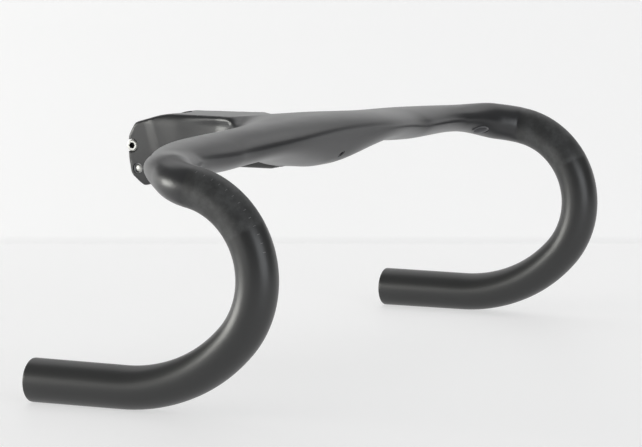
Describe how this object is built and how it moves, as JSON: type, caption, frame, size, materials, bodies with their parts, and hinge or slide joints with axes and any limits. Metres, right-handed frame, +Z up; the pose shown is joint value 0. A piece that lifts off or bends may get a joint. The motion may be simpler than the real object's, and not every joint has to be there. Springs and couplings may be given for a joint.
{
  "type": "drop handlebar",
  "caption": "Drop handlebar moulded in one run with its stem: flat-topped aero tops, a belly under the middle, round hooks and drops, and a split clamp for the steerer.",
  "frame": {"origin": "centre of the steerer clamp, half way up its height on the steerer's axis", "axes": "+X towards the rider's left, -Y forward, +Z up; the straight drops lie along Y"},
  "size_m": [0.4578, 0.2049, 0.1412],
  "materials": {
    "carbon_satin": "satin clear coat over carbon",
    "carbon_stem": "satin",
    "carbon_inner": "bare cured laminate",
    "bolt_steel": "plated steel",
    "nut_steel": "dull steel",
    "cover_plastic": "fine moulded grain",
    "screw_black": "black oxide",
    "insert_brass": "machined",
    "port_rubber": "matt",
    "port_lip": "matt grey",
    "insert_alloy": "dark anodised"
  },
  "bodies": {
    "root": {"wing": "carbon_satin", "stem_body": "carbon_stem", "right_drop": "carbon_satin", "left_drop": "carbon_satin", "right_joint_sleeve": "carbon_inner", "left_joint_sleeve": "carbon_inner", "clamp_nut_upper": "nut_steel", "clamp_nut_lower": "nut_steel", "cover_insert_front": "insert_brass", "cover_insert_rear": "insert_brass", "stem_port_grommet": "port_rubber", "right_port_grommet": "port_lip", "left_port_grommet": "port_lip", "accessory_insert": "insert_alloy"},
    "upper_washer": {"clamp_washer_upper": "bolt_steel"},
    "upper_bolt": {"clamp_bolt_upper": "bolt_steel"},
    "lower_washer": {"clamp_washer_lower": "bolt_steel"},
    "lower_bolt": {"clamp_bolt_lower": "bolt_steel"},
    "cover": {"belly_cover": "cover_plastic"},
    "front_screw": {"cover_screw_front": "screw_black"},
    "rear_screw": {"cover_screw_rear": "screw_black"}
  },
  "joints": [
    {"name": "upper_washer_slide", "type": "slide", "parent": "root", "child": "upper_washer", "axis": [-1, 0, 0], "range_m": [0, 0.007]},
    {"name": "upper_bolt_turn", "type": "hinge", "parent": "upper_washer", "child": "upper_bolt", "pos_m": [0, 0.02018, 0.00035], "axis": [-1, 0, 0], "range_deg": [0, 3600]},
    {"name": "lower_washer_slide", "type": "slide", "parent": "root", "child": "lower_washer", "axis": [1, 0, 0], "range_m": [0, 0.007]},
    {"name": "lower_bolt_turn", "type": "hinge", "parent": "lower_washer", "child": "lower_bolt", "pos_m": [0, 0.01632, -0.01311], "axis": [1, 0, 0], "range_deg": [0, 3600]},
    {"name": "cover_drop", "type": "slide", "parent": "root", "child": "cover", "axis": [0, 0, -1], "range_m": [0, 0.006]},
    {"name": "front_screw_turn", "type": "hinge", "parent": "cover", "child": "front_screw", "pos_m": [0, -0.06888, -0.00763], "axis": [0, 0, -1], "range_deg": [0, 4320]},
    {"name": "rear_screw_turn", "type": "hinge", "parent": "cover", "child": "rear_screw", "pos_m": [0, -0.04208, -0.00763], "axis": [0, 0, -1], "range_deg": [0, 4320]}
  ],
  "couplings": [
    {"joint": "upper_bolt_turn", "follows": "upper_washer_slide", "rad_per_m": 8976},
    {"joint": "lower_bolt_turn", "follows": "lower_washer_slide", "rad_per_m": 8976},
    {"joint": "front_screw_turn", "follows": "cover_drop", "rad_per_m": 12566},
    {"joint": "rear_screw_turn", "follows": "cover_drop", "rad_per_m": 12566}
  ]
}
